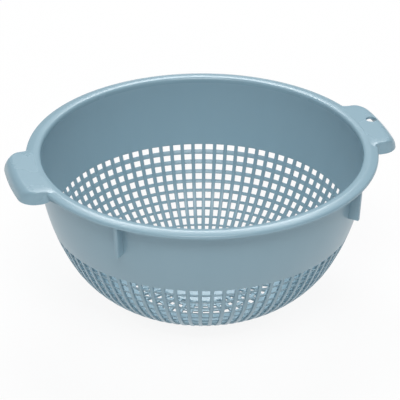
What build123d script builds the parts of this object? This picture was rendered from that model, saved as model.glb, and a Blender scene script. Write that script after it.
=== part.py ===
from build123d import *
import math
import os

# Driving dimensions in millimetres
height = 128.0
mouth_radius = 128.0
rim_width = 12.0
floor_radius = 67.5
wall = 2.2
foot_height = 4.0

# Rim flange: a shallow crown between the mouth and the outer edge
crown_rise = 1.6
mouth_drop = 0.8
crest_inset = 4.5
flange_edge = 2.4
flange_root = 3.4

# Bowl profile on its outside: upright under the rim, then two arcs that meet smoothly at the
# shoulder, then a flat floor. The angles are the wall's lean at the shoulder and at the floor
shoulder_angle = 27.4
floor_angle = 67.5

# Strainer lattice: ribs down the wall, crossed on their outside by rings. Rows get shorter by one
# ratio on their way down, and the bars between them get narrower
columns = 80
rows = 10
row_ratio = 0.987
plain_band = 54.1
base_band = 6.1
band_steps = 3
rib_width = 3.0
top_bar_width = 3.9
bottom_bar_width = 1.5
ring_depth = 1.1
seat_gap = 0.05

# Floor: a solid edge over the feet, a lattice of spokes and rings, and a centre disc
floor_edge_width = 12.0
floor_columns = 40
floor_rows = 3
spoke_width = 2.8
floor_bar_width = 3.3

# Feet: short arcs of one ring under the floor's edge
foot_count = 4
foot_inset = 6.4
foot_wall = 3.0
foot_flats = 9

# Handles: hollow grips that widen the rim on two sides
handle_reach = 17.0
handle_half_width = 41.0
handle_end_setback = 3.0
handle_corner_radius = 11.0
handle_depth = 6.0
handle_bevel_width = 6.5
handle_bevel_drop = 4.5
handle_wall = 2.0

# Hanging hole through one handle
hanging_hole_radius = 4.5
hanging_hole_inset = 10.5
hanging_hole_offset = 6.0

# Stacking lugs: fins under the rim that keep nested bowls apart
lug_count = 4
lug_first_angle = 45.0
lug_thickness = 3.0
lug_inset = 1.5
lug_drop = 26.0
lug_taper = 1.5

rim_level = height - crown_rise
arc_level = rim_level - flange_root
rim_radius = mouth_radius + rim_width
wall_radius = mouth_radius + wall
foot_radius = floor_radius - foot_inset

# The radii of the two arcs are the pair that spans the wall's width and its height
shoulder = math.radians(shoulder_angle)
floor_corner = math.radians(floor_angle)
wall_spread = wall_radius - floor_radius
wall_height = arc_level - foot_height
upper_share = 1 - math.cos(shoulder), math.sin(shoulder)
lower_share = math.cos(shoulder) - math.cos(floor_corner), math.sin(floor_corner) - math.sin(shoulder)
balance = upper_share[0] * lower_share[1] - lower_share[0] * upper_share[1]
upper_arc_radius = (wall_spread * lower_share[1] - wall_height * lower_share[0]) / balance
lower_arc_radius = (wall_height * upper_share[0] - wall_spread * upper_share[1]) / balance
upper_arc_length = upper_arc_radius * shoulder
wall_length = upper_arc_length + lower_arc_radius * (floor_corner - shoulder)


def on_wall(length, depth):
    """Radius and height of a point at a length down the outside of the wall, and at a depth under it."""
    centre_radius = wall_radius - upper_arc_radius
    centre_level = arc_level
    arc_radius = upper_arc_radius
    angle = length / upper_arc_radius
    if length > upper_arc_length:
        arc_change = upper_arc_radius - lower_arc_radius
        centre_radius += arc_change * math.cos(shoulder)
        centre_level -= arc_change * math.sin(shoulder)
        arc_radius = lower_arc_radius
        angle = shoulder + (length - upper_arc_length) / lower_arc_radius
    return (
        centre_radius + (arc_radius - depth) * math.cos(angle),
        centre_level - (arc_radius - depth) * math.sin(angle),
    )


def lattice_rows():
    """Lengths down the wall of the middles of the bars, from the plain band's edge to the base ring's."""
    row_shares = [row_ratio**row for row in range(rows)]
    lattice_length = wall_length - base_band - plain_band
    return [plain_band + lattice_length * sum(row_shares[:row]) / sum(row_shares) for row in range(rows + 1)]


def bar_width(row):
    """Width along the wall of the bar under a row, where 0 stands for the plain band."""
    return top_bar_width + (bottom_bar_width - top_bar_width) * row / rows


row_edges = lattice_rows()
lattice_top = row_edges[0] + bar_width(0) / 2
lattice_end = row_edges[-1] - bar_width(rows) / 2
rib_depth = ring_depth + seat_gap
floor_edge_radius = floor_radius - floor_edge_width
floor_top = foot_height + wall

os.makedirs("parts", exist_ok=True)


def save(piece, name):
    """Label a finished piece and write its file."""
    piece.part.label = name
    export_step(piece.part, f"parts/{name}.step")


# Rim: a crowned flange that thickens towards the wall
with BuildPart() as rim:
    with BuildSketch(Plane.XZ):
        with BuildLine():
            Polyline(
                (mouth_radius, arc_level),
                (mouth_radius, height - mouth_drop),
                (mouth_radius + crest_inset, height),
                (rim_radius, rim_level),
                (rim_radius, rim_level - flange_edge),
                (wall_radius, arc_level),
                close=True,
            )
        make_face()
    revolve(axis=Axis.Z)
save(rim, "rim")


def corner(distance, turn):
    """Point where two flats of the lattice meet, when the flats are at a distance from the bowl's axis."""
    reach = distance / math.cos(math.pi / columns)
    return (reach * math.cos(math.radians(turn)), reach * math.sin(math.radians(turn)))


def band(outline):
    """A ring round the bowl with a flat for each rib: its outline runs round them and is mitred between."""
    with BuildPart() as ring:
        with BuildLine():
            Polyline(*[corner(wall_radius, 360 * (flat - 0.5) / columns) for flat in range(columns)], close=True)
        with BuildSketch(Plane.XZ):
            with BuildLine():
                Polyline(*outline, close=True)
            make_face()
        sweep(transition=Transition.RIGHT)
    return ring


# Upper wall: the plain band between the rim and the first row of holes
band_stations = [lattice_top * step / band_steps for step in range(band_steps + 1)]
upper_wall = band(
    [
        *[on_wall(station, 0) for station in band_stations],
        *[on_wall(station, wall) for station in reversed(band_stations)],
    ]
)
save(upper_wall, "upper_wall")

# Wall ribs: each runs straight from one crossing to the next but one
rib_stations = [lattice_top + seat_gap, *row_edges[2:-1:2], lattice_end - seat_gap]
with BuildPart() as wall_rib:
    with BuildSketch(Plane.XZ):
        with BuildLine():
            Polyline(
                *[on_wall(station, rib_depth) for station in rib_stations],
                *[on_wall(station, wall) for station in reversed(rib_stations)],
                close=True,
            )
        make_face()
    extrude(amount=rib_width / 2, both=True)

with BuildPart() as wall_ribs:
    with PolarLocations(0, columns):
        add(wall_rib.part)
save(wall_ribs, "wall_ribs")

# Wall rings: bars seated on the outside of the ribs, whose outer face leans inwards as it goes down
for ring_number, station in enumerate(row_edges[1:-1], start=1):
    upper = station - bar_width(ring_number) / 2
    lower = station + bar_width(ring_number) / 2
    outline = [on_wall(lower, ring_depth), on_wall(upper, 0), on_wall(upper, ring_depth)]
    save(band(outline), f"wall_ring_{ring_number}")

# Base ring: turns the wall into the floor and carries the feet
base_ring = band(
    [
        on_wall(lattice_end, wall),
        on_wall(lattice_end, 0),
        (floor_radius, foot_height),
        (floor_edge_radius, foot_height),
        (floor_edge_radius, floor_top),
        (floor_radius - wall * math.tan(floor_corner / 2), floor_top),
    ]
)
save(base_ring, "base_ring")

# Floor lattice: spokes on top, crossed underneath by rings, around a plain disc
floor_edges = [floor_edge_radius + floor_bar_width / 2]
for row in range(floor_rows):
    floor_edges.append(floor_edges[-1] * (1 - 2 * math.pi / floor_columns))
disc_radius = floor_edges[-1] + floor_bar_width / 2

spoke_length = floor_edge_radius - disc_radius - 2 * seat_gap
with BuildPart() as floor_spokes:
    with BuildSketch(Plane.XY.offset(foot_height + rib_depth)):
        with PolarLocations((floor_edge_radius + disc_radius) / 2, floor_columns):
            Rectangle(spoke_length, spoke_width)
    extrude(amount=wall - rib_depth)
save(floor_spokes, "floor_spokes")


def floor_outline(distance, mode=Mode.ADD):
    """Outline with a flat facing each spoke, at a distance from the bowl's axis."""
    RegularPolygon(distance, floor_columns, major_radius=False, rotation=180 / floor_columns, mode=mode)


for ring_number, ring_radius in enumerate(floor_edges[1:-1], start=1):
    with BuildPart() as floor_ring:
        with BuildSketch(Plane.XY.offset(foot_height)):
            floor_outline(ring_radius + floor_bar_width / 2)
            floor_outline(ring_radius - floor_bar_width / 2, mode=Mode.SUBTRACT)
        extrude(amount=ring_depth)
    save(floor_ring, f"floor_ring_{ring_number}")

with BuildPart() as centre_disc:
    with BuildSketch(Plane.XY.offset(foot_height)):
        floor_outline(disc_radius)
    extrude(amount=wall)
save(centre_disc, "centre_disc")

# Feet: equal arcs of one ring
for foot_number in range(foot_count):
    foot_turn = 360 * foot_number / foot_count
    with BuildPart() as foot:
        with BuildLine():
            Polyline(
                *[
                    corner(foot_radius, foot_turn + 360 * (flat - foot_flats / 2) / columns)
                    for flat in range(foot_flats + 1)
                ]
            )
        with BuildSketch(Plane.XZ.rotated((0, 0, foot_turn))):
            with Locations((foot_radius - foot_wall / 2, foot_height / 2)):
                Rectangle(foot_wall, foot_height)
        sweep(transition=Transition.RIGHT)
    save(foot, f"foot_{foot_number + 1}")


def handle_outline(inset):
    """Sketch of a grip outside the rim, seen from above and drawn in by the inset."""
    half_width = handle_half_width - inset
    outer_edge = rim_radius + handle_reach - inset
    side_end = outer_edge - handle_end_setback
    with BuildSketch(Plane.XY.offset(rim_level - handle_depth)) as outline:
        with BuildLine():
            ThreePointArc((side_end, -half_width), (outer_edge, 0), (side_end, half_width))
            Polyline((side_end, half_width), (0, half_width), (0, -half_width), (side_end, -half_width))
        make_face()
        fillet(outline.vertices().group_by(Axis.X)[-1], handle_corner_radius - inset)
        Circle(rim_radius, mode=Mode.SUBTRACT)
    return outline.sketch


def make_grip(inset, depth, bevel_width, bevel_drop):
    """A solid grip whose top falls away to its free sides in a broad bevel."""
    with BuildPart() as grip:
        add(handle_outline(inset))
        extrude(amount=depth)
        top = grip.faces().sort_by(Axis.Z)[-1]
        rim_side = top.edges().filter_by(GeomType.CIRCLE).sort_by(lambda edge: abs(edge.radius - rim_radius))[0]
        free_sides = [edge for edge in top.edges() if edge != rim_side]
        chamfer(free_sides, bevel_width, bevel_drop, reference=top)
    return grip


def make_handle(turn):
    """A grip, hollow below, turned about the bowl's axis."""
    hollow_depth = handle_depth - handle_wall
    hollow_share = hollow_depth / handle_depth
    with BuildPart() as handle:
        add(make_grip(0, handle_depth, handle_bevel_width, handle_bevel_drop).part)
        hollow = make_grip(handle_wall, hollow_depth, handle_bevel_width * hollow_share, handle_bevel_drop * hollow_share)
        add(hollow.part, mode=Mode.SUBTRACT)
    with BuildPart() as placed:
        with Locations(Rotation(0, 0, turn)):
            add(handle.part)
    return placed


save(make_handle(180), "left_handle")

undrilled_handle = make_handle(0)
hole_centre = (rim_radius + handle_reach - hanging_hole_inset, hanging_hole_offset, rim_level)
with BuildPart() as right_handle:
    add(undrilled_handle.part)
    with Locations(hole_centre):
        Hole(hanging_hole_radius)
save(right_handle, "right_handle")

# Stacking lugs: radial fins from the wall to just inside the rim's edge
flange_slope = (flange_root - flange_edge) / (rim_radius - wall_radius)
lug_reach = rim_radius - lug_inset
lug_foot = arc_level - lug_drop
for lug_number in range(lug_count):
    lug_angle = lug_first_angle + 360 * lug_number / lug_count
    with BuildPart() as lug:
        with BuildSketch(Plane.XZ.rotated((0, 0, lug_angle))):
            with BuildLine():
                Polyline(
                    (wall_radius + seat_gap, arc_level - seat_gap),
                    (lug_reach, arc_level - seat_gap + flange_slope * (lug_reach - wall_radius)),
                    (lug_reach - lug_taper, lug_foot),
                    (wall_radius + seat_gap, lug_foot),
                    close=True,
                )
            make_face()
        extrude(amount=lug_thickness / 2, both=True)
    save(lug, f"lug_{lug_number + 1}")
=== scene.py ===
"""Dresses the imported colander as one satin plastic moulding, in metres, in the model's own frame."""

import math

import bmesh
import bpy
from bpy.props import FloatProperty, FloatVectorProperty, IntProperty, PointerProperty
from mathutils import Matrix, Vector


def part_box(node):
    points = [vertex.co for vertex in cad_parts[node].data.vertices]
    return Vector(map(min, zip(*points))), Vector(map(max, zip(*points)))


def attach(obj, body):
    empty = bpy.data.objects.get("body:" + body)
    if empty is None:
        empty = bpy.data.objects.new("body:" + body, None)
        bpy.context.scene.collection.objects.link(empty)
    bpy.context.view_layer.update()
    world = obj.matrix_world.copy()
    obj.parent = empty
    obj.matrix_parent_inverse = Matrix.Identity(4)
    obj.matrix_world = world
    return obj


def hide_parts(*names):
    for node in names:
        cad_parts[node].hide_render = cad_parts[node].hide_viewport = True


bl_info = {
    "name": "Plastic colander",
    "version": (1, 0, 0),
    "blender": (4, 5, 0),
    "location": "3D View > Sidebar > Colander",
    "description": "Builds the visible moulding of a lattice colander round its packed solids",
    "category": "Object",
}

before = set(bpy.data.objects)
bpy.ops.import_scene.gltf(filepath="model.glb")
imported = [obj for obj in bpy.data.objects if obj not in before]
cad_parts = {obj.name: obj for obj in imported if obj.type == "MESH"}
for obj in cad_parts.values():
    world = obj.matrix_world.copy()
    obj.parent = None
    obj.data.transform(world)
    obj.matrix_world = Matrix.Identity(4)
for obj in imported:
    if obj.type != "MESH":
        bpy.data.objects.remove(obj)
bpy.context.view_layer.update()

MM = 0.001
BODY = "root"

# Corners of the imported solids' boxes
rim_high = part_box("rim")[1]
wall_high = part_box("upper_wall")[1]
base_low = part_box("base_ring")[0]
disc_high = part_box("centre_disc")[1]
handle_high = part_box("right_handle")[1]

# Faces along a curve
WALL_STEPS = 40
RIB_STEPS = 36
BASE_STEPS = 8
FOOT_STEPS = 24
ROOT_STEPS = 5
SIDE_STEPS = 16
LIP_STEPS = 6
HOLLOW_STEPS = 8
DRILL_SIDES = 48

# How many feet and fins stand round the bowl
FEET = 4
FINS = 4

# Share of a grip's root that runs along the rim, and the mark of a point past the root and the end
RIM_SHARE = 0.4
FREE_SIDE = 2

# Share of the floor corner's radius that its outside takes, so that it stays clear of the wall's last point
CORNER_SHARE = 0.9

# Closest that two points may lie before they count as one
SAME_POINT = 0.001 * MM
ON_BORE = 0.01 * MM

# Sizes and detail of the noises in the plastic
CLOUD_DETAIL = 3
FLOW_SCALE = 9
FLOW_DETAIL = 4
GRAIN_DETAIL = 2
HANDLING_SCALE = 38
HANDLING_DETAIL = 4
GRAIN_HEIGHT = 0.05 * MM

# The stage
CAMERA_TARGET = (-1.56 * MM, 0.48 * MM, 79.6 * MM)
CAMERA_RANGE = (0.05, 20)
SENSOR_WIDTH = 36
LAMP_TARGET = (0, 0, 0.1)
FLOOR_GREY = (0.85, 0.85, 0.85, 1)
FLOOR_GLOW = 0.9
SKY_TINT = (0.96, 0.98, 1, 1)
WHITE = (1, 1, 1, 1)


def length(name, description, default):
    """A size in metres for the sidebar."""
    return FloatProperty(
        name=name, description=description, default=default, unit="LENGTH", precision=5
    )


def angle(name, description, degrees):
    """An angle for the sidebar."""
    radians = math.radians(degrees)
    return FloatProperty(name=name, description=description, default=radians, subtype="ANGLE")


def fraction(name, description, default):
    """A value from nought to one for the sidebar."""
    return FloatProperty(name=name, description=description, default=default, min=0, max=1)


def colour(name, description, default):
    """A colour for the sidebar, in the scene's linear values."""
    return FloatVectorProperty(
        name=name, description=description, default=default, size=3, subtype="COLOR", min=0, max=1
    )


class BowlSizes(bpy.types.PropertyGroup):
    """The bowl's profile."""

    height: length("Height", "From the feet to the rim's crown", rim_high.z)
    rim_radius: length("Rim radius", "Outside of the rim", rim_high.y)
    mouth_radius: length("Mouth radius", "Inside of the rim", 128 * MM)
    wall: length("Wall", "Thickness of the moulding", 2.2 * MM)
    arc_level: length("Wall top", "Height at which the wall leaves the rim", wall_high.z)
    floor_level: length("Floor level", "Height of the floor's underside", base_low.z)
    floor_radius: length("Floor radius", "Outside of the floor's corner", 67.5 * MM)
    shoulder_angle: angle("Shoulder angle", "Lean of the wall where its two arcs meet", 27.4)
    floor_angle: angle("Floor angle", "Lean of the wall where it meets the floor", 67.5)
    segments: IntProperty(name="Segments", description="Faces round the bowl", default=320, min=80)


class RimSizes(bpy.types.PropertyGroup):
    """The rim's crowned flange."""

    crown_rise: length("Crown rise", "Height of the crown over the rim's outer edge", 1.6 * MM)
    mouth_drop: length("Mouth drop", "Height of the crown over the mouth's edge", 0.8 * MM)
    crest_inset: length("Crest inset", "From the mouth's edge to the crown", 5.5 * MM)
    flange_edge: length("Edge thickness", "Thickness of the rim's outer edge", 2.4 * MM)
    crest_round: length("Crown rounding", "Radius of the crown", 7 * MM)
    mouth_round: length("Mouth rounding", "Radius of the mouth's edge", 2.6 * MM)
    edge_round: length("Edge rounding", "Radius of the rim's upper outer edge", 2 * MM)
    lip_round: length("Lip rounding", "Radius of the rim's lower outer edge", 0.5 * MM)
    root_round: length("Root rounding", "Radius where the wall meets the rim", 1.2 * MM)


class LatticeSizes(bpy.types.PropertyGroup):
    """The strainer's ribs and bars."""

    columns: IntProperty(name="Columns", description="Holes round the bowl", default=80, min=8)
    rows: IntProperty(name="Rows", description="Holes down the wall", default=10, min=2)
    row_ratio: fraction("Row ratio", "Height of a row to that of the row above it", 0.987)
    plain_band: length("Plain band", "Wall length above the first row", 54.1 * MM)
    base_band: length("Base band", "Wall length below the last row", 6.1 * MM)
    top_bar: length("Top bar", "Width along the wall of the bar above the first row", 4.0 * MM)
    bottom_bar: length("Bottom bar", "Width along the wall of the bar below the last row", 1.6 * MM)
    rib_width: length("Rib width", "Width of an upright rib", 3.0 * MM)
    rib_round: length("Rib rounding", "Radius of a rib's edges", 0.45 * MM)
    slat_thickness: length("Bar thickness", "Thickness of a crossing bar", 0.75 * MM)
    slat_round: length("Bar rounding", "Radius of a bar's edges", 0.25 * MM)
    slat_tilt: angle("Bar tilt", "How much flatter a bar lies than the wall", 19)
    flush_gap: length("Flush gap", "How far a rib lies under the face it runs into", 0.03 * MM)


class FloorSizes(bpy.types.PropertyGroup):
    """The floor and its feet."""

    edge_width: length("Edge width", "Solid edge of the floor", 12 * MM)
    columns: IntProperty(name="Columns", description="Holes round the floor", default=40, min=8)
    rows: IntProperty(name="Rows", description="Rings of holes in the floor", default=3, min=1)
    spoke_width: length("Spoke width", "Width of a spoke", 2.8 * MM)
    ring_width: length("Ring width", "Width of a ring between two rows of holes", 3.3 * MM)
    corner_round: length("Corner rounding", "Outside radius where the wall meets the floor", 3.0 * MM)
    foot_radius: length("Foot radius", "Outside of the ring that the feet are cut from", 61.1 * MM)
    foot_wall: length("Foot wall", "Thickness of a foot", 3.0 * MM)
    foot_angle: angle("Foot angle", "Length of a foot round the bowl", 40.5)
    foot_round: length("Foot rounding", "Radius of a foot's edges", 0.6 * MM)
    gate_radius: length("Gate radius", "Moulding mark in the middle of the floor's underside", 4.0 * MM)
    gate_depth: length("Gate depth", "Depth of the moulding mark", 0.5 * MM)


class HandleSizes(bpy.types.PropertyGroup):
    """The two grips and the hanging hole."""

    reach: length("Reach", "How far a grip stands out of the rim", 16.6 * MM)
    half_width: length("Half width", "Half of a grip's width at its skirt's lower edge", 37 * MM)
    end_setback: length("End setback", "How far a grip's ends lie behind its middle", 3.0 * MM)
    corner_radius: length("Corner radius", "Radius of a grip's corners, seen from above", 14 * MM)
    root_radius: length("Root radius", "Radius where a grip's end meets the rim, seen from above", 5 * MM)
    root_angle: angle("Root angle", "Length round the rim over which a grip's skirt dies away", 7)
    top_drop: length("Top drop", "Height of the rim's crown over a grip's top", 0.15 * MM)
    depth: length("Depth", "Height of a grip from its skirt's lower edge to its top", 10 * MM)
    side_fall: length("Side fall", "How far in from its outer side a grip's top starts to fall", 8 * MM)
    end_draft: length("End draft", "How much narrower a grip's end is at its top", 2 * MM)
    end_round: length("End rounding", "Radius of the edge between a grip's top and its end", 0.9 * MM)
    lip_round: length("Lip rounding", "Radius of the skirt's lower edge", 0.6 * MM)
    wall: length("Wall", "Thickness of a grip's top and skirt", 2.0 * MM)
    rim_overlap: length("Rim overlap", "How far a grip runs into the rim", 0.3 * MM)
    hole_radius: length("Hole radius", "Radius of the hanging hole", 4.5 * MM)
    hole_inset: length("Hole inset", "From the grip's outer edge to the hole's middle", 10.5 * MM)
    hole_offset: length("Hole offset", "From the grip's middle to the hole's middle", 6.0 * MM)
    hole_round: length("Hole rounding", "Radius of the hanging hole's lips", 0.5 * MM)


class LugSizes(bpy.types.PropertyGroup):
    """The stacking fins under the rim."""

    thickness: length("Thickness", "Thickness of a fin", 3.0 * MM)
    inset: length("Inset", "From the rim's edge to the fin's edge", 1.5 * MM)
    drop: length("Drop", "Height of a fin", 26 * MM)
    taper: length("Taper", "How much narrower a fin is at its foot", 1.5 * MM)
    rounding: length("Rounding", "Radius of a fin's edges", 0.5 * MM)
    first_angle: angle("First angle", "Place of the first fin round the bowl", 45)


class PlasticFinish(bpy.types.PropertyGroup):
    """The moulding's colour and surface."""

    tone: colour("Tone", "Colour of the plastic", (0.262, 0.402, 0.479))
    pale_tone: colour("Pale tone", "Colour where the plastic is thin or worn", (0.33, 0.47, 0.54))
    roughness: fraction("Roughness", "Satin roughness of the moulding", 0.28)
    grain: fraction("Grain", "Strength of the fine moulded grain", 0.12)
    grain_size: FloatProperty(name="Grain size", description="Scale of the grain's noise", default=2200)


class StageSettings(bpy.types.PropertyGroup):
    """The camera, the floor and the light."""

    camera_elevation: angle("Elevation", "Camera's height over the horizon", 29.085)
    camera_turn: angle("Turn", "Camera's turn round the bowl", -17.2)
    camera_distance: length("Distance", "Camera's distance from its target", 1560.5 * MM)
    camera_lens: FloatProperty(name="Lens", description="Focal length on 36 mm, in mm", default=174.2)
    floor_size: length("Floor size", "Side of the floor", 12.0)
    back_power: FloatProperty(name="Back lamp", description="Lamp behind, in W", default=26)
    front_power: FloatProperty(name="Front lamp", description="Lamp in front, in W", default=22)
    low_sky: fraction("Low sky", "Strength of the world's light near the horizon", 0.3)
    high_sky: fraction("High sky", "Strength of the world's light overhead", 0.35)


def settings(*groups):
    """The scene's settings in the groups of these names."""
    return [getattr(bpy.context.scene, f"colander_{group}") for group in groups]


# Mesh helpers


def rounded(points, radii, steps=5):
    """A closed outline with each corner replaced by an arc of its own radius."""
    outline = []
    for index, radius in enumerate(radii):
        corner = Vector(points[index])
        before = (Vector(points[index - 1]) - corner).normalized()
        after = (Vector(points[(index + 1) % len(points)]) - corner).normalized()
        half = before.angle(after) / 2
        if radius <= 0 or half > math.radians(89):
            outline.append(tuple(corner))
            continue
        reach = radius / math.tan(half)
        centre = corner + (before + after).normalized() * (radius / math.sin(half))
        start = corner + before * reach - centre
        end = corner + after * reach - centre
        sweep = start.angle_signed(end)
        for step in range(steps + 1):
            turned = start.copy()
            turned.rotate(Matrix.Rotation(-sweep * step / steps, 2))
            outline.append(tuple(centre + turned))
    return outline


def profile(corners, steps=5):
    """A closed outline of corners that are given as radius, height and rounding."""
    return rounded([corner[:2] for corner in corners], [corner[2] for corner in corners], steps)


class Shape:
    """Vertices and faces gathered for one mesh."""

    def __init__(self):
        self.points = []
        self.faces = []

    def loop(self, points):
        """Adds points and returns their numbers."""
        first = len(self.points)
        self.points.extend(points)
        return list(range(first, first + len(points)))

    def bridge(self, one, other):
        """Joins two closed runs of equally many points by quads."""
        for index in range(len(one)):
            self.faces.append((one[index - 1], one[index], other[index], other[index - 1]))

    def cap(self, loop):
        """Closes a loop by one face."""
        self.faces.append(tuple(loop))

    def tube(self, sections):
        """A closed bar through sections of equally many points, capped at both ends."""
        loops = [self.loop(section) for section in sections]
        for one, other in zip(loops, loops[1:]):
            self.bridge(one, other)
        self.cap(loops[0])
        self.cap(loops[-1])

    def turned(self, outline, segments):
        """A closed outline of radius and height, turned round the bowl's axis."""
        loops = []
        for segment in range(segments):
            turn = 2 * math.pi * segment / segments
            across, along = math.cos(turn), math.sin(turn)
            loops.append(self.loop([(r * across, r * along, z) for r, z in outline]))
        for index in range(segments):
            self.bridge(loops[index], loops[(index + 1) % segments])

    def take(self, mesh):
        """Takes over the vertices and faces of an edited mesh, which is freed."""
        mesh.verts.index_update()
        self.points = [tuple(vertex.co) for vertex in mesh.verts]
        self.faces = [tuple(vertex.index for vertex in face.verts) for face in mesh.faces]
        mesh.free()


def piece(name, shape, material, nodes, sharp_angle=40, weld=0.0):
    """Makes the object, shades it, gives it its finish and lets it stand for its solids."""
    mesh = bpy.data.meshes.new(name)
    mesh.from_pydata(shape.points, [], shape.faces)
    work = bmesh.new()
    work.from_mesh(mesh)
    if weld:
        bmesh.ops.remove_doubles(work, verts=work.verts, dist=weld)
    bmesh.ops.recalc_face_normals(work, faces=work.faces)
    work.to_mesh(mesh)
    work.free()
    mesh.shade_smooth()
    mesh.set_sharp_from_angle(angle=math.radians(sharp_angle))
    made = bpy.data.objects.new(name, mesh)
    bpy.context.scene.collection.objects.link(made)
    mesh.materials.append(material)
    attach(made, BODY)
    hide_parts(*nodes)


# The bowl's profile


def wall_arcs():
    """Radii of the two arcs that span the wall, the upper one's length and the whole wall's length."""
    bowl = bpy.context.scene.colander_bowl
    lean, foot = bowl.shoulder_angle, bowl.floor_angle
    spread = bowl.mouth_radius + bowl.wall - bowl.floor_radius
    fall = bowl.arc_level - bowl.floor_level
    upper = (1 - math.cos(lean), math.sin(lean))
    lower = (math.cos(lean) - math.cos(foot), math.sin(foot) - math.sin(lean))
    balance = upper[0] * lower[1] - lower[0] * upper[1]
    upper_radius = (spread * lower[1] - fall * lower[0]) / balance
    lower_radius = (fall * upper[0] - spread * upper[1]) / balance
    upper_length = upper_radius * lean
    return upper_radius, lower_radius, upper_length, upper_length + lower_radius * (foot - lean)


def wall_lean(run):
    """The wall's lean off the upright at a length down its outside."""
    upper_radius, lower_radius, upper_length, _ = wall_arcs()
    if run <= upper_length:
        return run / upper_radius
    return bpy.context.scene.colander_bowl.shoulder_angle + (run - upper_length) / lower_radius


def on_wall(run, depth):
    """Radius and height of a point at a length down the outside of the wall, and at a depth under it."""
    bowl = bpy.context.scene.colander_bowl
    upper_radius, lower_radius, upper_length, _ = wall_arcs()
    centre_radius = bowl.mouth_radius + bowl.wall - upper_radius
    centre_level = bowl.arc_level
    arc_radius = upper_radius
    if run > upper_length:
        centre_radius += (upper_radius - lower_radius) * math.cos(bowl.shoulder_angle)
        centre_level -= (upper_radius - lower_radius) * math.sin(bowl.shoulder_angle)
        arc_radius = lower_radius
    lean = wall_lean(run)
    return (
        centre_radius + (arc_radius - depth) * math.cos(lean),
        centre_level - (arc_radius - depth) * math.sin(lean),
    )


def row_edges():
    """Lengths down the wall of the bars' middles, from the plain band's edge to the base ring's."""
    lattice = bpy.context.scene.colander_lattice
    shares = [lattice.row_ratio**row for row in range(lattice.rows)]
    whole = wall_arcs()[3] - lattice.base_band - lattice.plain_band
    return [
        lattice.plain_band + whole * sum(shares[:row]) / sum(shares) for row in range(lattice.rows + 1)
    ]


def bar_width(row):
    """Width along the wall of the bar under a row, where 0 stands for the plain band."""
    lattice = bpy.context.scene.colander_lattice
    return lattice.top_bar + (lattice.bottom_bar - lattice.top_bar) * row / lattice.rows


def lattice_ends():
    """Lengths down the wall at which the lattice starts and ends."""
    edges = row_edges()
    return edges[0] + bar_width(0) / 2, edges[-1] - bar_width(len(edges) - 1) / 2


def stations(start, end, count):
    """Evenly spaced lengths from start to end."""
    return [start + (end - start) * step / count for step in range(count + 1)]


# Shared effects


def new_group(name, inputs, outputs):
    """A shader node group with its own input and output nodes."""
    group = bpy.data.node_groups.new(name, "ShaderNodeTree")
    for label, kind, default in inputs:
        socket = group.interface.new_socket(label, in_out="INPUT", socket_type=kind)
        socket.default_value = default
    for label, kind in outputs:
        group.interface.new_socket(label, in_out="OUTPUT", socket_type=kind)
    return group, group.nodes.new("NodeGroupInput"), group.nodes.new("NodeGroupOutput")


def computed(nodes, links, operation, *values):
    """What a Math node makes of values, each a socket or a number."""
    node = nodes.new("ShaderNodeMath")
    node.operation = operation
    for socket, value in zip(node.inputs, values):
        if isinstance(value, bpy.types.NodeSocket):
            links.new(value, socket)
        else:
            socket.default_value = value
    return node.outputs[0]


def noise(nodes, place, detail):
    """A noise over a place, with its scale left to the caller."""
    node = nodes.new("ShaderNodeTexNoise")
    node.inputs["Detail"].default_value = detail
    node.id_data.links.new(place, node.inputs["Vector"])
    return node


def moulded_tone():
    """Colour of moulded plastic: soft clouds in the pigment and faint flow lines away from the gate."""
    if "Moulded tone" in bpy.data.node_groups:
        return bpy.data.node_groups["Moulded tone"]
    group, given, out = new_group(
        "Moulded tone",
        [
            ("Tone", "NodeSocketColor", (0.3, 0.4, 0.5, 1)),
            ("Pale tone", "NodeSocketColor", (0.4, 0.5, 0.6, 1)),
            ("Cloud size", "NodeSocketFloat", 22.0),
            ("Clouds", "NodeSocketFloat", 0.2),
            ("Flow lines", "NodeSocketFloat", 0.1),
        ],
        [("Colour", "NodeSocketColor")],
    )
    nodes, links = group.nodes, group.links
    place = nodes.new("ShaderNodeTexCoord").outputs["Object"]
    clouds = noise(nodes, place, CLOUD_DETAIL)
    links.new(given.outputs["Cloud size"], clouds.inputs["Scale"])
    spread = computed(nodes, links, "MULTIPLY", clouds.outputs["Fac"], given.outputs["Clouds"])

    axes = nodes.new("ShaderNodeSeparateXYZ")
    links.new(place, axes.inputs[0])
    streaks = nodes.new("ShaderNodeCombineXYZ")
    turn = computed(nodes, links, "ARCTAN2", axes.outputs["Y"], axes.outputs["X"])
    links.new(turn, streaks.inputs["X"])
    links.new(axes.outputs["Z"], streaks.inputs["Y"])
    flow = noise(nodes, streaks.outputs[0], FLOW_DETAIL)
    flow.inputs["Scale"].default_value = FLOW_SCALE
    lines = computed(nodes, links, "MULTIPLY", flow.outputs["Fac"], given.outputs["Flow lines"])
    total = computed(nodes, links, "ADD", spread, lines)
    total.node.use_clamp = True
    mix = nodes.new("ShaderNodeMix")
    mix.data_type = "RGBA"
    links.new(total, mix.inputs["Factor"])
    links.new(given.outputs["Tone"], mix.inputs["A"])
    links.new(given.outputs["Pale tone"], mix.inputs["B"])
    links.new(mix.outputs["Result"], out.inputs["Colour"])
    return group


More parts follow.
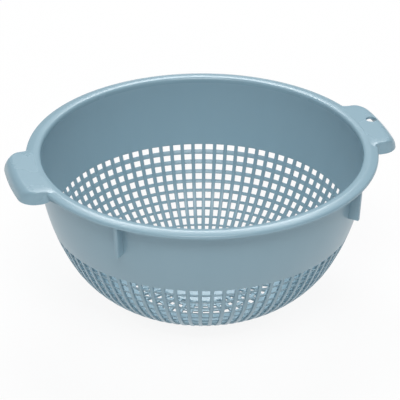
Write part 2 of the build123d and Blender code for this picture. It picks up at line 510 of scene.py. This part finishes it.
def moulded_surface():
    """Satin surface of moulded plastic: fine grain, and softly varied gloss."""
    if "Moulded surface" in bpy.data.node_groups:
        return bpy.data.node_groups["Moulded surface"]
    group, given, out = new_group(
        "Moulded surface",
        [
            ("Grain size", "NodeSocketFloat", 2200.0),
            ("Roughness", "NodeSocketFloat", 0.36),
            ("Variation", "NodeSocketFloat", 0.08),
        ],
        [("Roughness", "NodeSocketFloat"), ("Height", "NodeSocketFloat")],
    )
    nodes, links = group.nodes, group.links
    place = nodes.new("ShaderNodeTexCoord").outputs["Object"]
    grain = noise(nodes, place, GRAIN_DETAIL)
    links.new(given.outputs["Grain size"], grain.inputs["Scale"])
    links.new(grain.outputs["Fac"], out.inputs["Height"])
    handling = noise(nodes, place, HANDLING_DETAIL)
    handling.inputs["Scale"].default_value = HANDLING_SCALE
    vary = computed(
        nodes,
        links,
        "MULTIPLY_ADD",
        handling.outputs["Fac"],
        given.outputs["Variation"],
        given.outputs["Roughness"],
    )
    links.new(vary, out.inputs["Roughness"])
    return group


def plastic(name, clouds, flow, gloss=0.0):
    """A satin plastic with its own share of clouds, flow lines and gloss."""
    finish = bpy.context.scene.colander_finish
    material = bpy.data.materials.new(name)
    material.use_nodes = True
    nodes, links = material.node_tree.nodes, material.node_tree.links
    shader = nodes["Principled BSDF"]
    tone = nodes.new("ShaderNodeGroup")
    tone.node_tree = moulded_tone()
    tone.inputs["Tone"].default_value = (*finish.tone, 1)
    tone.inputs["Pale tone"].default_value = (*finish.pale_tone, 1)
    tone.inputs["Clouds"].default_value = clouds
    tone.inputs["Flow lines"].default_value = flow
    links.new(tone.outputs["Colour"], shader.inputs["Base Color"])
    surface = nodes.new("ShaderNodeGroup")
    surface.node_tree = moulded_surface()
    surface.inputs["Grain size"].default_value = finish.grain_size
    surface.inputs["Roughness"].default_value = finish.roughness - gloss
    links.new(surface.outputs["Roughness"], shader.inputs["Roughness"])
    bump = nodes.new("ShaderNodeBump")
    bump.inputs["Strength"].default_value = finish.grain
    bump.inputs["Distance"].default_value = GRAIN_HEIGHT
    links.new(surface.outputs["Height"], bump.inputs["Height"])
    links.new(bump.outputs["Normal"], shader.inputs["Normal"])
    return material


# Operators


class COLANDER_OT_rim(bpy.types.Operator):
    """Builds the crowned rim"""

    bl_idname = "colander.rim"
    bl_label = "Rim"

    def execute(self, context):
        bowl, rim = settings("bowl", "rim")
        edge_top = bowl.height - rim.crown_rise
        corners = [
            (bowl.mouth_radius, bowl.arc_level, 0),
            (bowl.mouth_radius, bowl.height - rim.mouth_drop, rim.mouth_round),
            (bowl.mouth_radius + rim.crest_inset, bowl.height, rim.crest_round),
            (bowl.rim_radius, edge_top, rim.edge_round),
            (bowl.rim_radius, edge_top - rim.flange_edge, rim.lip_round),
            (bowl.mouth_radius + bowl.wall, bowl.arc_level, 0),
        ]
        shape = Shape()
        shape.turned(profile(corners), bowl.segments)
        piece("rim_crown", shape, plastic("Rim plastic", clouds=0.15, flow=0.1, gloss=0.06), ["rim"])
        return {"FINISHED"}


class COLANDER_OT_wall(bpy.types.Operator):
    """Builds the plain band under the rim"""

    bl_idname = "colander.wall"
    bl_label = "Upper wall"

    def execute(self, context):
        bowl, rim, lattice = settings("bowl", "rim", "lattice")
        end = lattice_ends()[0]
        lip = lattice.rib_round
        runs = stations(rim.root_round, end - lip, WALL_STEPS)
        root = bowl.mouth_radius + bowl.wall + rim.root_round
        outside = [(root, bowl.arc_level)]
        for turn in stations(0, math.pi / 2, ROOT_STEPS)[1:-1]:
            inward, fall = math.sin(turn), 1 - math.cos(turn)
            outside.append((root - rim.root_round * inward, bowl.arc_level - rim.root_round * fall))
        outside += [on_wall(run, 0) for run in runs]
        inside = [on_wall(run, bowl.wall) for run in reversed(runs)]
        inside.append((bowl.mouth_radius, bowl.arc_level))
        lower_lip = [
            on_wall(end - lip * (1 - math.sin(turn)), lip * (1 - math.cos(turn)))
            for turn in (math.radians(degrees) for degrees in (22.5, 45, 67.5, 90))
        ]
        upper_lip = [
            on_wall(end - lip * (1 - math.sin(turn)), bowl.wall - lip * (1 - math.cos(turn)))
            for turn in (math.radians(degrees) for degrees in (90, 67.5, 45, 22.5))
        ]
        shape = Shape()
        shape.turned(outside + lower_lip + upper_lip + inside, bowl.segments)
        piece("wall_band", shape, plastic("Wall plastic", clouds=0.25, flow=0.25), ["upper_wall"])
        return {"FINISHED"}


class COLANDER_OT_lattice(bpy.types.Operator):
    """Builds the strainer's upright ribs and the thin bars that cross them"""

    bl_idname = "colander.lattice"
    bl_label = "Wall lattice"

    def execute(self, context):
        bowl, lattice = settings("bowl", "lattice")
        edges = row_edges()
        first, last = lattice_ends()
        embed = lattice.rib_round * 2
        half = lattice.rib_width / 2
        top, bottom = lattice.flush_gap, bowl.wall - lattice.flush_gap
        section = rounded(
            [(-half, top), (half, top), (half, bottom), (-half, bottom)], [lattice.rib_round] * 4, steps=3
        )
        runs = stations(first - embed, last + embed, RIB_STEPS)
        sections = [[(side, on_wall(run, depth)) for side, depth in section] for run in runs]
        ribs = Shape()
        for column in range(lattice.columns):
            turn = 2 * math.pi * column / lattice.columns
            across, along = math.cos(turn), math.sin(turn)
            ribs.tube(
                [
                    [(r * across - side * along, r * along + side * across, z) for side, (r, z) in loop]
                    for loop in sections
                ]
            )
        material = plastic("Lattice plastic", clouds=0.25, flow=0.1)
        piece("lattice_ribs", ribs, material, ["wall_ribs"])

        for number, run in enumerate(edges[1:-1], start=1):
            lean = wall_lean(run) + lattice.slat_tilt
            centre = Vector(on_wall(run, bowl.wall / 2))
            along = Vector((math.sin(lean), math.cos(lean))) * bar_width(number) / 2
            along = along / math.cos(lattice.slat_tilt)
            out = Vector((math.cos(lean), -math.sin(lean))) * lattice.slat_thickness / 2
            upper, lower = centre - along, centre + along
            corners = [upper - out, upper + out, lower + out, lower - out]
            bar = Shape()
            bar.turned(rounded(corners, [lattice.slat_round] * 4, steps=2), bowl.segments)
            piece(f"lattice_bar_{number}", bar, material, [f"wall_ring_{number}"])
        return {"FINISHED"}


class COLANDER_OT_base(bpy.types.Operator):
    """Builds the solid ring that turns the wall into the floor"""

    bl_idname = "colander.base"
    bl_label = "Base ring"

    def execute(self, context):
        bowl, lattice, floor = settings("bowl", "lattice", "floor")
        start = lattice_ends()[1]
        end = wall_arcs()[3]
        lip = lattice.rib_round
        setback = floor.corner_round * math.tan(bowl.floor_angle / 2)
        runs = stations(start + lip, end - setback, BASE_STEPS)
        inner_round = floor.corner_round - bowl.wall
        floor_top = bowl.floor_level + bowl.wall
        edge = bowl.floor_radius - floor.edge_width
        corners = [(*on_wall(start, bowl.wall), lip), (*on_wall(start, 0), lip)]
        corners += [(*on_wall(run, 0), 0) for run in runs[1:]]
        corners += [
            (bowl.floor_radius, bowl.floor_level, floor.corner_round * CORNER_SHARE),
            (edge, bowl.floor_level, lip),
            (edge, floor_top, lip),
            (bowl.floor_radius - bowl.wall * math.tan(bowl.floor_angle / 2), floor_top, inner_round),
        ]
        corners += [(*on_wall(run, bowl.wall), 0) for run in reversed(runs[1:])]
        shape = Shape()
        shape.turned(profile(corners, steps=4), bowl.segments)
        piece("base_turn", shape, plastic("Base plastic", clouds=0.25, flow=0.1), ["base_ring"])
        return {"FINISHED"}


class COLANDER_OT_floor(bpy.types.Operator):
    """Builds the floor's spokes, rings and plain middle"""

    bl_idname = "colander.floor"
    bl_label = "Floor lattice"

    def execute(self, context):
        bowl, lattice, floor = settings("bowl", "lattice", "floor")
        material = plastic("Floor plastic", clouds=0.25, flow=0.2)
        low, high = bowl.floor_level, bowl.floor_level + bowl.wall
        edge = bowl.floor_radius - floor.edge_width
        rings = [edge + floor.ring_width / 2]
        for _ in range(floor.rows):
            rings.append(rings[-1] * (1 - 2 * math.pi / floor.columns))
        disc_radius = disc_high.y
        embed = lattice.rib_round * 2
        half = floor.spoke_width / 2
        section = rounded(
            [
                (-half, low + lattice.flush_gap),
                (half, low + lattice.flush_gap),
                (half, high - lattice.flush_gap),
                (-half, high - lattice.flush_gap),
            ],
            [lattice.rib_round] * 4,
            steps=3,
        )
        spokes = Shape()
        for column in range(floor.columns):
            turn = 2 * math.pi * column / floor.columns
            across, along = math.cos(turn), math.sin(turn)
            spokes.tube(
                [
                    [(r * across - side * along, r * along + side * across, z) for side, z in section]
                    for r in (disc_radius - embed, edge + embed)
                ]
            )
        piece("floor_spokes_round", spokes, material, ["floor_spokes"])

        middle = (low + high) / 2
        for number, radius in enumerate(rings[1:-1], start=1):
            reach = floor.ring_width / 2
            thick = lattice.slat_thickness
            corners = [
                (radius - reach, middle - thick),
                (radius + reach, middle - thick),
                (radius + reach, middle + thick / 2),
                (radius - reach, middle + thick / 2),
            ]
            ring = Shape()
            ring.turned(rounded(corners, [lattice.slat_round] * 4, steps=2), bowl.segments)
            piece(f"floor_hoop_{number}", ring, material, [f"floor_ring_{number}"])

        gate_top = low + floor.gate_depth
        outline = [
            (0, gate_top, 0),
            (floor.gate_radius, gate_top, lattice.slat_round),
            (floor.gate_radius, low, lattice.slat_round),
            (disc_radius, low, lattice.rib_round),
            (disc_radius, high, lattice.rib_round),
            (0, high, 0),
        ]
        disc = Shape()
        disc.turned(profile(outline, steps=3), bowl.segments)
        piece("floor_disc", disc, material, ["centre_disc"], weld=SAME_POINT)
        return {"FINISHED"}


class COLANDER_OT_feet(bpy.types.Operator):
    """Builds the four curved feet"""

    bl_idname = "colander.feet"
    bl_label = "Feet"

    def execute(self, context):
        bowl, floor = settings("bowl", "floor")
        material = plastic("Foot plastic", clouds=0.2, flow=0.0)
        outer, inner = floor.foot_radius, floor.foot_radius - floor.foot_wall
        section = profile(
            [
                (inner, 0, floor.foot_round),
                (outer, 0, floor.foot_round),
                (outer, bowl.floor_level, 0),
                (inner, bowl.floor_level, 0),
            ]
        )
        for number in range(FEET):
            foot = Shape()
            sections = []
            for step in range(FOOT_STEPS + 1):
                turn = 2 * math.pi / FEET * number + floor.foot_angle * (step / FOOT_STEPS - 0.5)
                sections.append([(r * math.cos(turn), r * math.sin(turn), z) for r, z in section])
            foot.tube(sections)
            piece(f"foot_arc_{number + 1}", foot, material, [f"foot_{number + 1}"])
        return {"FINISHED"}


def grip_outline(points=10):
    """Points round a grip's free sides: x, y, outward direction and share of the root that is passed."""
    bowl, handle = settings("bowl", "handle")
    half, corner, root = handle.half_width, handle.corner_radius, handle.root_radius
    rim_edge = bowl.rim_radius - handle.rim_overlap
    root_y = half + root
    root_x = math.sqrt((rim_edge + root) ** 2 - root_y**2)
    root_turn = math.atan2(root_y, root_x)
    outline = []
    for share in stations(0, RIM_SHARE, points)[:-1]:
        turn = root_turn + handle.root_angle * (1 - share / RIM_SHARE)
        outline.append((rim_edge * math.cos(turn), rim_edge * math.sin(turn), turn, share))
    for share in stations(RIM_SHARE, 1, points):
        turn = root_turn + (math.pi / 2 - root_turn) * (share - RIM_SHARE) / (1 - RIM_SHARE)
        outline.append((root_x - root * math.cos(turn), root_y - root * math.sin(turn), turn, share))
    bow_radius = (half**2 + handle.end_setback**2) / (2 * handle.end_setback)
    bow_centre = bowl.rim_radius + handle.reach - bow_radius
    corner_y = half - corner
    corner_x = bow_centre + math.sqrt((bow_radius - corner) ** 2 - corner_y**2)
    bow_turn = math.asin(corner_y / (bow_radius - corner))
    outline += [(x, half, math.pi / 2, 1) for x in stations(root_x, corner_x, 3)[1:-1]]
    for turn in stations(math.pi / 2, bow_turn, points):
        x, y = corner_x + corner * math.cos(turn), corner_y + corner * math.sin(turn)
        outline.append((x, y, turn, FREE_SIDE))
    for turn in stations(bow_turn, 0, points)[1:]:
        x, y = bow_centre + bow_radius * math.cos(turn), bow_radius * math.sin(turn)
        outline.append((x, y, turn, FREE_SIDE))
    return outline + [(x, -y, -turn, share) for x, y, turn, share in reversed(outline[:-1])]


def grip_run(side_inset, end_inset, fall):
    """A run round a grip at one level, drawn in at its outer side and at its ends."""
    bowl, rim, handle = settings("bowl", "rim", "handle")
    top = bowl.height - handle.top_drop
    root_top = rim.crown_rise - handle.top_drop
    root_depth = rim.flange_edge
    run = []
    for x, y, turn, share in grip_outline():
        x -= (end_inset if share < 1 else side_inset) * math.cos(turn)
        y -= end_inset * math.sin(turn)
        passed = min(share, 1)
        eased = passed**2 * (3 - 2 * passed)
        depth = root_depth + (handle.depth - root_depth) * eased
        run.append((x, y, top - root_top * (1 - eased) - fall / handle.depth * depth))
    return run


def grip_runs():
    """All runs of a grip, from its top over its rounded side, down its skirt and up into its hollow."""
    handle = bpy.context.scene.colander_handle
    depth, wall, lip, edge = handle.depth, handle.wall, handle.lip_round, handle.end_round
    runs = []
    for turn in stations(0, math.pi / 2, SIDE_STEPS):
        fall = depth * (1 - math.cos(turn))
        rounded_end = edge - math.sqrt(max(edge**2 - max(edge - fall, 0) ** 2, 0))
        side_inset = handle.side_fall * (1 - math.sin(turn))
        runs.append((side_inset, handle.end_draft * (1 - fall / depth) + rounded_end, fall))
    runs = [run for run in runs if run[2] < depth - lip]
    for turn in stations(0, math.pi, LIP_STEPS):
        inset = wall / 2 * (1 - math.cos(turn))
        runs.append((inset, inset, depth - lip * (1 - math.sin(turn))))
    for turn in reversed(stations(0, math.pi / 2, HOLLOW_STEPS)[:-1]):
        fall = wall + (depth - wall) * (1 - math.cos(turn))
        side_inset = wall + (handle.side_fall - wall) * (1 - math.sin(turn))
        runs.append((side_inset, wall + handle.end_draft * (1 - fall / depth), fall))
    return runs


def along_rim(first, last, radius, level, count=24):
    """Points at one radius and level between the directions of two others."""
    turns = [math.atan2(point.y, point.x) for point in (first, last)]
    return [(radius * math.cos(turn), radius * math.sin(turn), level) for turn in stations(*turns, count)]


def build_grip(name, node, facing, material, hole=None):
    """One grip: a plate that falls away to a skirt round its three free sides, open to the rim."""
    bowl, rim, handle = settings("bowl", "rim", "handle")
    mesh = bmesh.new()
    loops = [[mesh.verts.new(point) for point in grip_run(*run)] for run in grip_runs()]
    for one, other in zip(loops, loops[1:]):
        for index in range(len(one) - 1):
            mesh.faces.new((one[index], one[index + 1], other[index + 1], other[index]))
    for end in (0, -1):
        mesh.faces.new([loop[end] for loop in loops])
    top, hollow = loops[0], loops[-1]
    crown = bowl.mouth_radius + rim.crest_inset
    upper = along_rim(top[-1].co, top[0].co, crown, bowl.height - handle.top_drop)
    ceiling = hollow[len(hollow) // 2].co.z
    lower = along_rim(hollow[-1].co, hollow[0].co, math.hypot(*hollow[0].co[:2]), ceiling)
    rims = [[mesh.verts.new(point) for point in run] for run in (upper, lower)]
    for index in range(len(upper) - 1):
        mesh.faces.new((rims[0][index], rims[0][index + 1], rims[1][index + 1], rims[1][index]))
    for loop, run in ((top, rims[0]), (hollow, rims[1])):
        boundary = loop + run
        edges = [edge_between(mesh, *ends) for ends in zip(boundary[-1:] + boundary, boundary)]
        bmesh.ops.triangle_fill(mesh, use_beauty=True, use_dissolve=False, edges=edges)
    for end, side in ((0, -1), (-1, 0)):
        mesh.faces.new((loops[0][end], rims[0][side], rims[1][side], loops[-1][end]))
    bmesh.ops.recalc_face_normals(mesh, faces=mesh.faces)
    if hole:
        mesh = bored(mesh, hole)
    bmesh.ops.rotate(mesh, verts=mesh.verts, cent=(0, 0, 0), matrix=Matrix.Rotation(facing, 3, "Z"))
    shape = Shape()
    shape.take(mesh)
    piece(name, shape, material, [node], sharp_angle=25)


def bored(mesh, hole):
    """The mesh with a round hole cut through it and the hole's lips rounded."""
    bowl, handle = settings("bowl", "handle")
    radius = handle.hole_radius
    solid = bpy.data.meshes.new("Grip blank")
    mesh.to_mesh(solid)
    mesh.free()
    blank = bpy.data.objects.new("Grip blank", solid)
    drill = bmesh.new()
    bmesh.ops.create_cone(
        drill,
        cap_ends=True,
        segments=DRILL_SIDES,
        radius1=radius,
        radius2=radius,
        depth=4 * handle.depth,
        matrix=Matrix.Translation((*hole, bowl.height)),
    )
    cutter_mesh = bpy.data.meshes.new("Hole drill")
    drill.to_mesh(cutter_mesh)
    drill.free()
    cutter = bpy.data.objects.new("Hole drill", cutter_mesh)
    for made in (blank, cutter):
        bpy.context.scene.collection.objects.link(made)
    cut = blank.modifiers.new("Hole", "BOOLEAN")
    cut.operation = "DIFFERENCE"
    cut.solver = "EXACT"
    cut.object = cutter
    bpy.context.view_layer.update()
    finished = blank.evaluated_get(bpy.context.evaluated_depsgraph_get()).to_mesh()
    result = bmesh.new()
    result.from_mesh(finished)
    bpy.data.objects.remove(blank)
    bpy.data.objects.remove(cutter)
    bpy.data.meshes.remove(solid)
    bpy.data.meshes.remove(cutter_mesh)
    lips = []
    for edge in result.edges:
        ends = [Vector(vertex.co[:2]) for vertex in edge.verts]
        on_bore = all(abs((end - Vector(hole)).length - radius) < ON_BORE for end in ends)
        if on_bore and (ends[0] - ends[1]).length > ON_BORE:
            lips.append(edge)
    round_edges(result, lips, handle.hole_round, 3)
    return result


def round_edges(mesh, edges, radius, steps):
    """Rounds edges of a mesh by arcs."""
    bmesh.ops.bevel(
        mesh, geom=edges, offset=radius, segments=steps, profile=0.5, affect="EDGES", clamp_overlap=True
    )


def edge_between(mesh, one, other):
    """The edge that joins two vertices, made if it isn't there."""
    return mesh.edges.get((one, other)) or mesh.edges.new((one, other))


class COLANDER_OT_handles(bpy.types.Operator):
    """Builds the two grips, one with the hanging hole"""

    bl_idname = "colander.handles"
    bl_label = "Handles"

    def execute(self, context):
        handle = context.scene.colander_handle
        material = plastic("Handle plastic", clouds=0.15, flow=0.0, gloss=0.05)
        hole = (handle_high.x - handle.hole_inset, handle.hole_offset)
        build_grip("grip_right", "right_handle", 0, material, hole)
        build_grip("grip_left", "left_handle", math.pi, material)
        return {"FINISHED"}


class COLANDER_OT_lugs(bpy.types.Operator):
    """Builds the stacking fins under the rim"""

    bl_idname = "colander.lugs"
    bl_label = "Stacking fins"

    def execute(self, context):
        bowl, rim, lug = settings("bowl", "rim", "lug")
        material = plastic("Fin plastic", clouds=0.2, flow=0.0)
        reach = bowl.rim_radius - lug.inset
        foot = bowl.arc_level - lug.drop
        root = bowl.mouth_radius + bowl.wall / 2
        flange_rise = bowl.height - rim.crown_rise - rim.flange_edge - bowl.arc_level
        flange_root = bowl.mouth_radius + bowl.wall
        slope = flange_rise / (bowl.rim_radius - flange_root)
        top = bowl.arc_level + slope * (reach - flange_root)
        root_foot = on_wall(lug.drop, bowl.wall / 2)[0]
        outline = [(root, bowl.arc_level), (reach, top), (reach - lug.taper, foot), (root_foot, foot)]
        for number in range(FINS):
            turn = lug.first_angle + 2 * math.pi / FINS * number
            across, along = math.cos(turn), math.sin(turn)
            mesh = bmesh.new()
            sides = []
            for side in (-lug.thickness / 2, lug.thickness / 2):
                points = [(r * across - side * along, r * along + side * across, z) for r, z in outline]
                sides.append([mesh.verts.new(point) for point in points])
            mesh.faces.new(sides[0])
            mesh.faces.new(sides[1])
            for index in range(len(outline)):
                mesh.faces.new((sides[0][index - 1], sides[0][index], sides[1][index], sides[1][index - 1]))
            outer = [edge_between(mesh, side[1], side[2]) for side in sides]
            lower = [edge_between(mesh, side[2], side[3]) for side in sides]
            lower.append(edge_between(mesh, sides[0][2], sides[1][2]))
            round_edges(mesh, outer + lower, lug.rounding, 4)
            shape = Shape()
            shape.take(mesh)
            piece(f"stacking_fin_{number + 1}", shape, material, [f"lug_{number + 1}"], sharp_angle=50)
        return {"FINISHED"}


def area_light(name, place, size, power):
    """A soft oblong lamp that faces the bowl."""
    lamp = bpy.data.lights.new(name, "AREA")
    lamp.shape = "RECTANGLE"
    lamp.size, lamp.size_y = size
    lamp.energy = power
    holder = bpy.data.objects.new(name, lamp)
    holder.location = place
    holder.rotation_euler = (Vector(LAMP_TARGET) - Vector(place)).to_track_quat("-Z", "Y").to_euler()
    bpy.context.scene.collection.objects.link(holder)


def seen_directly(nodes, links):
    """One for rays from the camera, a mirror or glass, nought for the light that falls on the object."""
    rays = nodes.new("ShaderNodeLightPath")
    highest = rays.outputs["Is Camera Ray"]
    for kind in ("Is Glossy Ray", "Is Transmission Ray"):
        highest = computed(nodes, links, "MAXIMUM", highest, rays.outputs[kind])
    return highest


class COLANDER_OT_stage(bpy.types.Operator):
    """Builds the pale floor, the soft light and the camera"""

    bl_idname = "colander.stage"
    bl_label = "Stage"

    def execute(self, context):
        scene = context.scene
        stage = scene.colander_stage
        self.make_floor(stage)
        self.make_world(scene, stage)
        area_light("Back softbox", (0.41, 1.33, 1.75), (1.3, 0.7), stage.back_power)
        area_light("Front softbox", (-0.3, -0.96, 1.8), (1, 1), stage.front_power)
        self.make_camera(scene, stage)
        scene.view_settings.view_transform = "Standard"
        return {"FINISHED"}

    def make_floor(self, stage):
        """A pale floor that shows white and still takes the object's shadow."""
        half = stage.floor_size / 2
        mesh = bpy.data.meshes.new("Studio floor")
        corners = [(-half, -half, 0), (half, -half, 0), (half, half, 0), (-half, half, 0)]
        mesh.from_pydata(corners, [], [(0, 1, 2, 3)])
        floor = bpy.data.objects.new("studio_floor", mesh)
        bpy.context.scene.collection.objects.link(floor)
        material = bpy.data.materials.new("Studio white")
        material.use_nodes = True
        nodes, links = material.node_tree.nodes, material.node_tree.links
        surface = nodes["Principled BSDF"]
        surface.inputs["Base Color"].default_value = FLOOR_GREY
        surface.inputs["Roughness"].default_value = 1
        glow = nodes.new("ShaderNodeEmission")
        glow.inputs["Color"].default_value = WHITE
        share = computed(nodes, links, "MULTIPLY", seen_directly(nodes, links), FLOOR_GLOW)
        mix = nodes.new("ShaderNodeMixShader")
        links.new(share, mix.inputs[0])
        links.new(surface.outputs[0], mix.inputs[1])
        links.new(glow.outputs[0], mix.inputs[2])
        links.new(mix.outputs[0], nodes["Material Output"].inputs["Surface"])
        mesh.materials.append(material)

    def make_world(self, scene, stage):
        """A faint sky that is a little brighter overhead, and plain white to the camera."""
        world = bpy.data.worlds.new("Studio light")
        scene.world = world
        world.use_nodes = True
        nodes, links = world.node_tree.nodes, world.node_tree.links
        soft = nodes["Background"]
        soft.inputs["Color"].default_value = SKY_TINT
        direction = nodes.new("ShaderNodeTexCoord")
        axes = nodes.new("ShaderNodeSeparateXYZ")
        links.new(direction.outputs["Generated"], axes.inputs[0])
        rise = nodes.new("ShaderNodeMapRange")
        rise.inputs["From Min"].default_value = 0.1
        rise.inputs["From Max"].default_value = 0.7
        rise.inputs["To Min"].default_value = stage.low_sky
        rise.inputs["To Max"].default_value = stage.high_sky
        links.new(axes.outputs["Z"], rise.inputs["Value"])
        links.new(rise.outputs[0], soft.inputs["Strength"])
        white = nodes.new("ShaderNodeBackground")
        white.inputs["Color"].default_value = WHITE
        white.inputs["Strength"].default_value = 1
        mix = nodes.new("ShaderNodeMixShader")
        rays = nodes.new("ShaderNodeLightPath")
        links.new(rays.outputs["Is Camera Ray"], mix.inputs[0])
        links.new(soft.outputs[0], mix.inputs[1])
        links.new(white.outputs[0], mix.inputs[2])
        links.new(mix.outputs[0], nodes["World Output"].inputs["Surface"])

    def make_camera(self, scene, stage):
        """A camera where the photograph was taken from."""
        turn, rise = stage.camera_turn, stage.camera_elevation
        level = math.cos(rise)
        back = Vector((math.sin(turn) * level, -math.cos(turn) * level, math.sin(rise)))
        camera = bpy.data.cameras.new("Photograph camera")
        camera.sensor_width = SENSOR_WIDTH
        camera.lens = stage.camera_lens
        camera.clip_start, camera.clip_end = CAMERA_RANGE
        holder = bpy.data.objects.new("Photograph camera", camera)
        holder.location = Vector(CAMERA_TARGET) + back * stage.camera_distance
        holder.rotation_euler = (-back).to_track_quat("-Z", "Y").to_euler()
        scene.collection.objects.link(holder)
        scene.camera = holder


BUILDERS = (
    COLANDER_OT_rim,
    COLANDER_OT_wall,
    COLANDER_OT_lattice,
    COLANDER_OT_base,
    COLANDER_OT_floor,
    COLANDER_OT_feet,
    COLANDER_OT_handles,
    COLANDER_OT_lugs,
    COLANDER_OT_stage,
)


class COLANDER_PT_builder(bpy.types.Panel):
    """Lists the colander's pieces in the sidebar"""

    bl_idname = "COLANDER_PT_builder"
    bl_label = "Colander"
    bl_space_type = "VIEW_3D"
    bl_region_type = "UI"
    bl_category = "Colander"

    def draw(self, context):
        for builder in BUILDERS:
            self.layout.operator(builder.bl_idname)
        for group in SETTINGS:
            values = getattr(context.scene, group)
            column = self.layout.column(align=True)
            column.label(text=values.bl_rna.name)
            for name in values.__annotations__:
                column.prop(values, name)


SETTINGS = {
    "colander_bowl": BowlSizes,
    "colander_rim": RimSizes,
    "colander_lattice": LatticeSizes,
    "colander_floor": FloorSizes,
    "colander_handle": HandleSizes,
    "colander_lug": LugSizes,
    "colander_finish": PlasticFinish,
    "colander_stage": StageSettings,
}


def register():
    """Registers the settings, the operators and the panel."""
    for name, group in SETTINGS.items():
        bpy.utils.register_class(group)
        setattr(bpy.types.Scene, name, PointerProperty(type=group))
    for builder in BUILDERS:
        bpy.utils.register_class(builder)
    bpy.utils.register_class(COLANDER_PT_builder)


def unregister():
    """Takes the panel, the operators and the settings away again."""
    bpy.utils.unregister_class(COLANDER_PT_builder)
    for builder in reversed(BUILDERS):
        bpy.utils.unregister_class(builder)
    for name, group in reversed(SETTINGS.items()):
        delattr(bpy.types.Scene, name)
        bpy.utils.unregister_class(group)


def main():
    """Builds every piece."""
    register()
    bpy.ops.colander.rim()
    bpy.ops.colander.wall()
    bpy.ops.colander.lattice()
    bpy.ops.colander.base()
    bpy.ops.colander.floor()
    bpy.ops.colander.feet()
    bpy.ops.colander.handles()
    bpy.ops.colander.lugs()
    bpy.ops.colander.stage()


if __name__ == "__main__":
    main()
